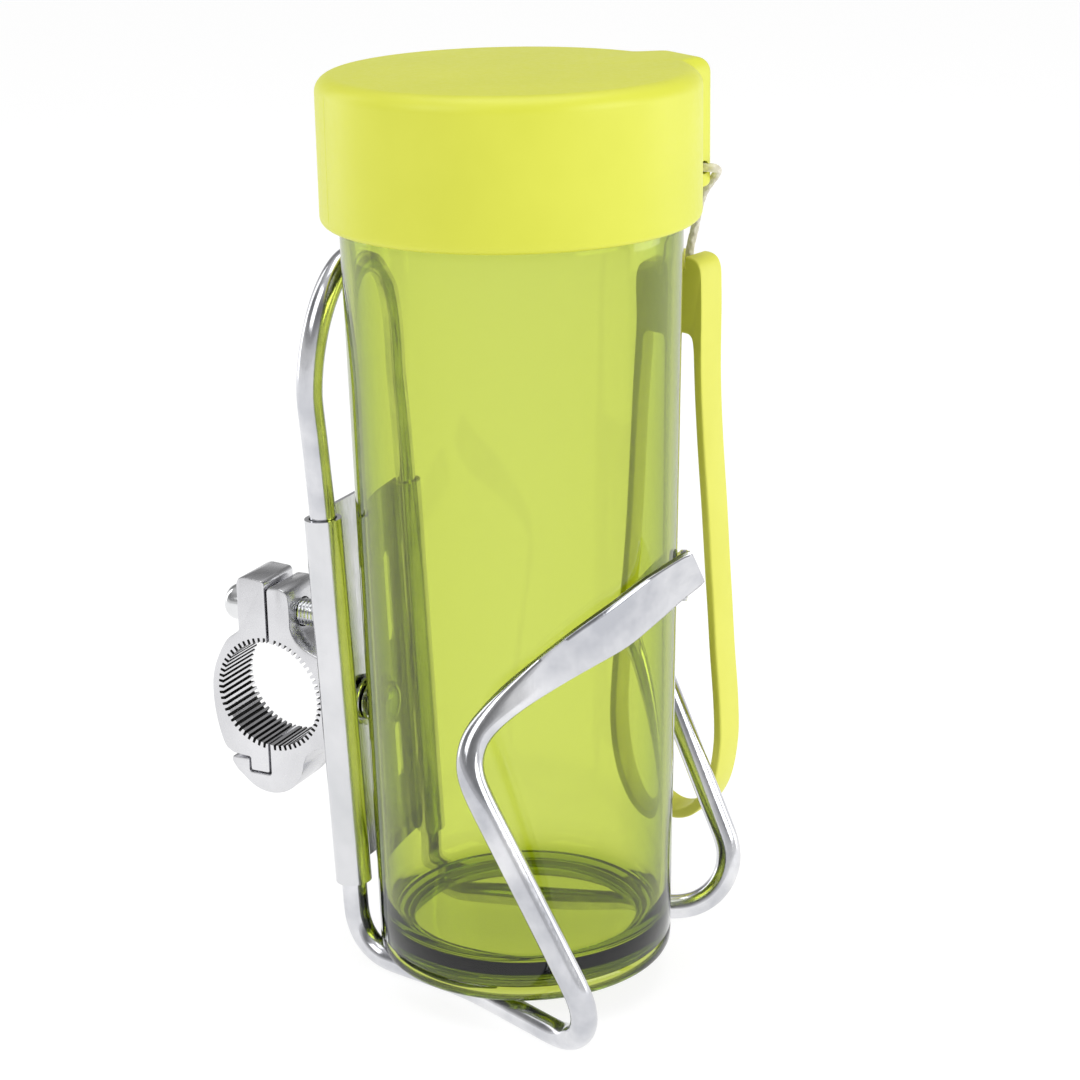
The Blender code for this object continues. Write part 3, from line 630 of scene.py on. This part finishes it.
# ------------------------------------------------------------------------ cage
def fillet(a, corner, b, radius, steps):
    a, corner, b = (np.array(p, float) for p in (a, corner, b))
    u = (a - corner) / np.linalg.norm(a - corner)
    v = (b - corner) / np.linalg.norm(b - corner)
    angle = math.acos(float(np.clip(u @ v, -1, 1)))
    tangent = radius / math.tan(angle / 2)
    bisector = (u + v) / np.linalg.norm(u + v)
    centre = corner + bisector * radius / math.sin(angle / 2)
    p, q = corner + u * tangent - centre, corner + v * tangent - centre
    sweep = math.pi - angle
    return [centre + (p * math.sin(sweep * (1 - t)) + q * math.sin(sweep * t)) / math.sin(sweep)
            for t in np.linspace(0, 1, steps)]


def polar(r, az, z):
    a = math.radians(az)
    return (r * math.cos(a), r * math.sin(a), z)


BEND_BOTTOM = (-40.25, -40.7, -3.4)
BEND_SIDE = (-46.5, -6.3, 68.9)
BEND_BACK = (-LEG_X, LEG_Y0 + LEG_SLOPE * RUN_Z, RUN_Z)
RUN_KNEE = (-22.6, 3.0, RUN_Z)
ARM_TURN = [(45.7, -166.9, 60.6), (43.0, -166.4, 66.2), (40.4, -161.8, 70.6), (38.3, -155.6, 74.2),
            (37.0, -148.6, 77.2), (36.55, -140.4, 80.4), (36.45, -132.5, 83.1), (36.45, -125.0, 85.2),
            (36.45, -116.8, 87.1), (36.6, -108.6, 89.2), (37.6, -101.2, 91.2), (39.8, -95.6, 93.6),
            (43.0, -90.8, 96.2)]


def half_path():
    lower = np.array(BEND_BOTTOM)
    side = np.array(BEND_SIDE)
    arm = [polar(*p) for p in ARM_TURN]
    curve = catmull([tuple(lower + (side - lower) * 0.72), tuple(lower + (side - lower) * 0.80)] + arm, 10)[10:]
    path = []
    for i, p in enumerate(reversed(curve)):
        az = math.degrees(math.atan2(p[1], p[0]))
        flat = min(1.0, max(0.0, (az + 167.5) / 58.0)) if len(curve) - 1 - i > 10 else 0.0
        path.append((*p, flat))
    path += [(*p, 0.0) for p in fillet(side, lower, RUN_KNEE, 12.5, 30)]
    path += [(*p, 0.0) for p in fillet(lower, RUN_KNEE, BEND_BACK, 60.0, 16)]
    leg_top = (-LEG_X, leg_y(104.0), 104.0)
    path += [(*p, 0.0) for p in fillet(RUN_KNEE, BEND_BACK, leg_top, 10.0, 26)]
    path.append((*leg_top, 0.0))
    foot_y = leg_y(ARCH_Z0) + 0.8
    path.append((-LEG_X, leg_y(118.0) + 0.35, 118.0, 0.0))
    for s in np.linspace(0, math.pi / 2, 60):
        c, d = math.cos(s), math.sin(s)
        path.append((-LEG_X * max(c, 0.0), foot_y + (ARCH_TOP_Y - foot_y) * d ** 1.5,
                     ARCH_Z0 + (ARCH_Z1 - ARCH_Z0) * d, 0.0))
    return np.array(path)


def rod_section(flat, narrow, sides=32):
    # the rod is pressed thin early on and goes on getting wider towards the tip
    wide = flat * flat * (3 - 2 * flat)
    flat = min(1.0, 2.1 * flat)
    flat = flat * flat * (3 - 2 * flat)
    pts = []
    for i in range(sides):
        a = 2 * math.pi * (i + 0.5) / sides
        c, s = math.cos(a), math.sin(a)
        # superellipse: round where the rod is round, nearly square where it is pressed flat
        p = 2.0 + 5.0 * flat
        k = (abs(c) ** p + abs(s) ** p) ** (-1 / p)
        pts.append((k * c * (ROD_R + (1.0 - ROD_R) * flat), k * s * (ROD_R + (5.7 - ROD_R) * wide) * narrow))
    return pts


def make_rod():
    half = half_path()
    back = half[::-1][1:].copy()
    back[:, 0] *= -1
    back = back[:-29]              # the right arm's tip stops short of the left one's
    line = even(np.concatenate([half, back]), 0.8, 10)
    pts = [line[i, :3] for i in range(len(line))]
    flat = line[:, 3]
    n = len(pts)
    tangents = []
    for i in range(n):
        a, b = pts[max(i - 1, 0)], pts[min(i + 1, n - 1)]
        tangents.append((b - a) / np.linalg.norm(b - a))

    def radial(i):
        r = np.array((pts[i][0], pts[i][1], 0.0))
        r -= tangents[i] * (r @ tangents[i])
        return r / np.linalg.norm(r)

    normals = [None] * n
    first = [i for i in range(n // 2) if flat[i] > 1e-4]
    last = [i for i in range(n // 2, n) if flat[i] > 1e-4]
    for i in first + last:
        normals[i] = radial(i)
    carried = normals[first[-1]]
    for i in range(first[-1] + 1, last[0]):
        carried = carried - tangents[i] * (carried @ tangents[i])
        carried /= np.linalg.norm(carried)
        normals[i] = carried
    end = carried - tangents[last[0]] * (carried @ tangents[last[0]])
    end /= np.linalg.norm(end)
    want = normals[last[0]]
    twist = math.atan2(float(np.cross(end, want) @ tangents[last[0]]), float(end @ want))
    span = last[0] - first[-1]
    for i in range(first[-1] + 1, last[0]):
        a = twist * (i - first[-1]) / span
        t, v = tangents[i], normals[i]
        normals[i] = v * math.cos(a) + np.cross(t, v) * math.sin(a)
    rings = []
    for i in range(n):
        side = np.cross(tangents[i], normals[i])
        near = min(i, n - 1 - i) * 0.8
        narrow = 1.0 - 0.10 * max(0.0, 1 - near / 2.2) ** 2
        rings.append([tuple(pts[i] + normals[i] * u + side * v) for u, v in rod_section(flat[i], narrow)])
    return piece("cage_rod_bent", rings_to_bmesh(rings), ROD, "cage", ["cage_rod"], 50.0)


make_rod()


def make_plate():
    outer, inner = SLEEVE_OUT_R, SLEEVE_OUT_R - SHEET_T
    sweep = [math.radians(90 + a) for a in np.linspace(0, 322, 60)]
    left_out = [(-LEG_X + outer * math.cos(a), outer * math.sin(a)) for a in sweep]
    left_in = [(-LEG_X + inner * math.cos(a), inner * math.sin(a)) for a in sweep]
    section = left_out + list(reversed(left_in))
    section += [(-x, y) for x, y in reversed(section)]

    def ring(z):
        return [(x, leg_y(z) + y, z - LEG_SLOPE * y) for x, y in section]

    plate = piece("back_plate_sheet", rings_to_bmesh([ring(SLEEVE_Z0), ring(58.0), ring(SLEEVE_Z1)]), SHEET, "cage",
                  ["back_plate"], 25.0)

    def slot(x, z0, z1, half):
        y = leg_y((z0 + z1) / 2) + 3.6
        loop = [(x + half * math.cos(a), z1 - half + half * math.sin(a)) for a in np.linspace(0, math.pi, 15)]
        loop += [(x + half * math.cos(a), z0 + half + half * math.sin(a)) for a in np.linspace(math.pi, 2 * math.pi, 15)]
        return rings_to_bmesh([[(a, y - 3, b) for a, b in loop], [(a, y + 3, b) for a, b in loop]])

    for k, bm in enumerate((slot(-7.0, 64, 86, 1.7), slot(7.0, 64, 86, 1.7), slot(-7.0, 30, 44, 1.7),
                            slot(7.0, 30, 44, 1.7),
                            along_y(cylinder(2.8, -4, 4, 40), 0, leg_y(PLATE_BOLT_Z) + 3.6, PLATE_BOLT_Z))):
        boolean(plate, cutter("cut_plate_%d" % k, bm), "DIFFERENCE")
    return plate


make_plate()


# ----------------------------------------------------------------------- clamp
def toothed_arc(a0, a1):
    pitch = 2 * math.pi / CLAMP_TEETH
    first = math.ceil((min(a0, a1) + 0.30 * pitch) / pitch)
    last = math.floor((max(a0, a1) - 0.30 * pitch) / pitch)
    out = []
    for k in range(first, last + 1):
        for part, r in ((-0.28, BORE_TIP_R), (-0.20, BORE_ROOT_R), (0.20, BORE_ROOT_R), (0.28, BORE_TIP_R)):
            out.append(((k + part) * pitch, r))
    if a1 < a0:
        out.reverse()
    return [(BORE_Y + r * math.cos(a), BORE_Z + r * math.sin(a)) for a, r in out]


def bore_angle(y, z):
    return math.atan2(z - BORE_Z, y - BORE_Y)


def round_corners(points, radius, steps=3):
    """Open line with each corner rounded."""
    out = [points[0]]
    for i in range(1, len(points) - 1):
        a, b, c = (np.array(points[k], float) for k in (i - 1, i, i + 1))
        la, lc = np.linalg.norm(a - b), np.linalg.norm(c - b)
        r = min(radius, 0.45 * la, 0.45 * lc)
        p, q = b + (a - b) / la * r, b + (c - b) / lc * r
        for t in np.linspace(0, 1, steps + 1):
            out.append(tuple((1 - t) ** 2 * p + 2 * t * (1 - t) * b + t * t * q))
    out.append(points[-1])
    return out


def clamp_solid(name, outline, bore, body, node):
    """Prism along X with its rim eased on the outside and left sharp at the teeth."""
    ring = list(outline) + list(bore)
    soft = len(outline)
    bm = rings_to_bmesh([[(-CLAMP_HALF_W, y, z) for y, z in ring], [(CLAMP_HALF_W, y, z) for y, z in ring]])
    obj = piece(name, bm, CAST, body, [node], 30.0)
    mesh = obj.data
    weight = mesh.attributes.new("bevel_weight_edge", "FLOAT", "EDGE")
    n = len(ring)
    for edge in mesh.edges:
        a, b = edge.vertices
        if a // n == b // n and a % n < soft and b % n < soft:
            weight.data[edge.index].value = 1.0
    mod = obj.modifiers.new("eased", "BEVEL")
    mod.limit_method = "WEIGHT"
    mod.width = 0.00035
    mod.segments = 2
    bpy.context.view_layer.update()
    graph = bpy.context.evaluated_depsgraph_get()
    fine = bpy.data.meshes.new_from_object(obj.evaluated_get(graph))
    obj.modifiers.clear()
    obj.data = fine
    bpy.data.meshes.remove(mesh)
    fine.set_sharp_from_angle(angle=math.radians(30))
    # second slot: the tooth-root faces picked out below get the painted shade of the grooves
    fine.materials.append(GROOVE_SHADE.mat)
    for face in fine.polygons:
        c = face.center / MM
        r = math.hypot(c.y, c.z)
        if BORE_TIP_R + 0.25 < r < BORE_ROOT_R + 0.05 and abs(face.normal.x) < 0.3:
            if (face.normal.y * c.y + face.normal.z * c.z) < 0.45 * r:
                face.material_index = 1
    return obj


def make_clamp_base():
    zt = BORE_Z + math.sqrt(BORE_TIP_R ** 2 - (62.3 - BORE_Y) ** 2)
    zb = BORE_Z - math.sqrt(BORE_TIP_R ** 2 - (63.5 - BORE_Y) ** 2)
    ear = [(62.3, zt), (62.3, 77.7), (61.6, 78.5), (58.6, 78.6), (57.3, 78.0), (56.6, 76.6), (56.4, 74.5), (56.4, 69.2)]
    neck = [(55.9, 67.6), (55.1, 66.4), (53.6, 65.1), (51.4, 64.0)]
    back = [(48.8, 63.0), (47.4, 62.0), (47.0, 61.0), (47.0, 43.5), (47.4, 41.8), (48.8, 40.6), (51.2, 39.7), (53.4, 38.2)]
    lobe_c, lobe_r = (64.0, 36.3), 9.6
    lobe = [(lobe_c[0] + lobe_r * math.cos(a), lobe_c[1] + lobe_r * math.sin(a))
            for a in np.radians(np.linspace(185, 318, 28))]
    hook = [(72.9, 31.2), (74.4, 33.4), (74.2, 34.5), (69.5, 34.6), (69.5, 31.3), (63.5, 31.3), (63.5, zb)]
    bore = toothed_arc(bore_angle(63.5, zb), bore_angle(62.3, zt) - 2 * math.pi)
    base = clamp_solid("clamp_base_cast", round_corners(ear + neck + back + lobe + hook, 0.6), bore, "cage", "clamp_base")
    foot = along_y(cylinder(5.8, 0, 5.2, 64), 0, 42.4, PLATE_BOLT_Z)
    boolean(base, cutter("add_foot", foot), "UNION")
    boolean(base, cutter("cut_foot", along_y(cylinder(2.75, 0, 9.5, 40), 0, 41.5, PLATE_BOLT_Z)), "DIFFERENCE")
    boolean(base, cutter("cut_ear", along_y(cylinder(3.55, 0, 10, 40), 0, 54.5, CLAMP_BOLT_Z)), "DIFFERENCE")


def make_clamp_jaw():
    zt = BORE_Z + math.sqrt(BORE_TIP_R ** 2 - (62.9 - BORE_Y) ** 2)
    zb = BORE_Z - math.sqrt(BORE_TIP_R ** 2 - (64.0 - BORE_Y) ** 2)
    ear = [(62.9, zt), (62.9, 79.2), (63.5, 79.9), (68.4, 80.2), (69.8, 79.8), (70.4, 78.6), (70.4, 66.8), (71.4, 66.0)]
    outside = catmull([(71.4, 66.0), (73.9, 64.0), (76.2, 60.2), (77.8, 56.2), (78.5, 52.2), (78.4, 47.0), (77.6, 42.0),
                       (76.4, 38.0), (75.4, 36.4), (73.6, 35.4)], 3)[1:]
    tongue = [(69.3, 35.1), (69.0, 34.8), (69.0, 31.8), (64.0, 31.8), (64.0, zb)]
    bore = toothed_arc(bore_angle(64.0, zb), bore_angle(62.9, zt))
    outline = round_corners(ear + [tuple(p) for p in outside] + tongue, 0.5)
    jaw = clamp_solid("clamp_jaw_cast", outline, bore, "jaw", "clamp_jaw")
    boolean(jaw, cutter("cut_jaw_ear", along_y(cylinder(3.75, 0, 12, 40), 0, 60.5, CLAMP_BOLT_Z)), "DIFFERENCE")


make_clamp_base()
make_clamp_jaw()


def thread(r, depth, pitch, z0, z1):
    """Zigzag profile between two heights."""
    out = []
    z = z0
    while z < z1 - pitch:
        out += [(r - depth, z), (r, z + 0.38 * pitch), (r, z + 0.52 * pitch), (r - depth, z + 0.9 * pitch)]
        z += pitch
    out.append((r - depth, z1))
    return out


def make_bolts():
    head = [(4.2, 0.0), (4.35, 0.15), (4.35, 2.7)]
    head += [(4.35 - 2.3 * (1 - math.cos(t)), 2.7 + 2.75 * math.sin(t)) for t in np.linspace(0.1, math.pi / 2, 9)]
    head += [(2.0, 5.5), (1.9, 5.35), (1.9, 3.2), (0, 3.0)]
    profile = [(0, -20.0), (2.5, -20.0)] + thread(3.2, 0.45, 0.9, -19.6, -8.0) + [(3.2, -7.6), (3.2, 0.0)] + head
    piece("clamp_bolt_domed", along_y(lathe(profile, 64, closed=False), 0, 71.0, CLAMP_BOLT_Z), STEEL, "screw",
          ["clamp_bolt"], 35.0)
    y = leg_y(PLATE_BOLT_Z) + SLEEVE_OUT_R - SHEET_T
    dome = [(0, 0.0), (1.6, 0.05), (3.2, 0.3), (4.3, 0.85), (4.85, 1.5), (5.0, 2.1), (5.0, 2.9), (2.4, 2.9)]
    profile = dome + thread(2.4, 0.35, 0.8, 3.4, 12.6) + [(1.7, 13.2), (0, 13.3)]
    piece("plate_bolt_screw", along_y(lathe(profile, 64, closed=False), 0, y - 5.6, PLATE_BOLT_Z), STEEL, "cage",
          ["plate_bolt"], 35.0)
    profile = [(2.75, 0.1), (2.85, 0), (5.75, 0), (5.9, 0.12), (5.9, 0.68), (5.75, 0.8), (2.85, 0.8), (2.75, 0.7)]
    piece("plate_washer_flat", along_y(lathe(profile, 64), 0, y - 1.2, PLATE_BOLT_Z), STEEL, "cage", ["plate_washer"])
    rings = []
    for i in range(73):
        a = math.radians(100 + 344 * i / 72)
        c, s = math.cos(a), math.sin(a)
        rings.append([(r * c, y + d, PLATE_BOLT_Z + r * s)
                      for r, d in ((2.75, -2.2), (2.9, -2.3), (4.35, -2.3), (4.5, -2.2), (4.5, -1.6), (4.35, -1.5),
                                   (2.9, -1.5), (2.75, -1.6))])
    piece("plate_lock_washer", rings_to_bmesh(rings), STEEL, "cage", ["plate_spring_washer"])


make_bolts()


# ----------------------------------------------------------------------- stage
def make_stage():
    low = CAD_BOX[0][2] - 0.0012
    mesh = bpy.data.meshes.new("floor")
    s = 9.0
    mesh.from_pydata([(-s, -s, low), (s, -s, low), (s, s, low), (-s, s, low)], [], [(0, 1, 2, 3)])
    floor = bpy.data.objects.new("floor", mesh)
    bpy.context.scene.collection.objects.link(floor)
    n = Nodes("floor_white")
    n.set(Base_Color=(0.26, 0.26, 0.26, 1.0), Roughness=0.7)
    n.set(Specular_IOR_Level=0.1)
    n.set(Emission_Color=(1.0, 1.0, 1.0, 1.0), Emission_Strength=0.84)
    mesh.materials.append(n.mat)

    world = bpy.data.worlds.new("studio")
    bpy.context.scene.world = world
    world.use_nodes = True
    tree = world.node_tree
    back = tree.nodes["Background"]
    coord = tree.nodes.new("ShaderNodeTexCoord")
    split = tree.nodes.new("ShaderNodeSeparateXYZ")
    tree.links.new(coord.outputs["Generated"], split.inputs["Vector"])
    ramp = tree.nodes.new("ShaderNodeValToRGB")
    # pale at the horizon, a darker band above it, bright overhead
    stops = [(0.0, 1.0), (0.14, 1.0), (0.24, 0.50), (0.50, 0.30), (0.72, 0.55), (0.90, 1.0)]
    while len(ramp.color_ramp.elements) < len(stops):
        ramp.color_ramp.elements.new(0.5)
    for element, (at, level) in zip(ramp.color_ramp.elements, stops):
        element.position = at
        element.color = (level, level, level, 1)
    tree.links.new(split.outputs["Z"], ramp.inputs["Fac"])
    tree.links.new(ramp.outputs["Color"], back.inputs["Color"])
    back.inputs["Strength"].default_value = 0.70

    def area(name, where, size, power, height=None):
        data = bpy.data.lights.new(name, "AREA")
        data.shape = "RECTANGLE"
        data.size = size
        data.size_y = height or size
        data.energy = power
        lamp = bpy.data.objects.new(name, data)
        spot = place(from_view(*where))
        lamp.location = spot
        lamp.rotation_euler = (place((0, 20, 95)) - spot).to_track_quat("-Z", "Y").to_euler()
        bpy.context.scene.collection.objects.link(lamp)

    area("key", (-750, -650, 900), 0.7, 3.6)
    area("fill", (850, -500, 520), 0.6, 4.0)
    area("top", (0, 100, 1300), 0.9, 4.2)
    area("rim_left", (-800, 450, 350), 0.35, 1.6, 0.9)
    area("rim_right", (900, 150, 120), 0.45, 1.4, 0.6)


make_stage()
bpy.context.scene.view_settings.view_transform = "Standard"
